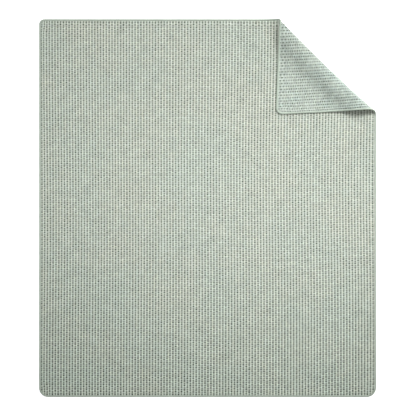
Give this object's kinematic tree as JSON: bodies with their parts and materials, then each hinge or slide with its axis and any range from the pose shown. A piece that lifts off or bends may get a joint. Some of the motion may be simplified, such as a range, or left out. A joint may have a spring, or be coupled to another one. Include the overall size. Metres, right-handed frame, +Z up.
{
  "type": "quilted throw",
  "caption": "Lightweight quilted cotton throw with a narrow bound edge, laid flat with one corner folded back onto its face.",
  "frame": {"origin": "under the middle of the throw, on the surface it lies on", "axes": "+X across the throw, +Y along it towards the edge with the folded corner, +Z up out of its face"},
  "size_m": [1.3001, 1.4573, 0.0322],
  "materials": {
    "quilted_cloth": "matte quilted cotton, pale sage green with fine heathered threads",
    "edge_binding": "matte plain cotton strip, sage green, a shade darker than the quilted cloth"
  },
  "bodies": {
    "root": {"quilted_cloth": "quilted_cloth", "edge_binding": "edge_binding"}
  },
  "joints": []
}
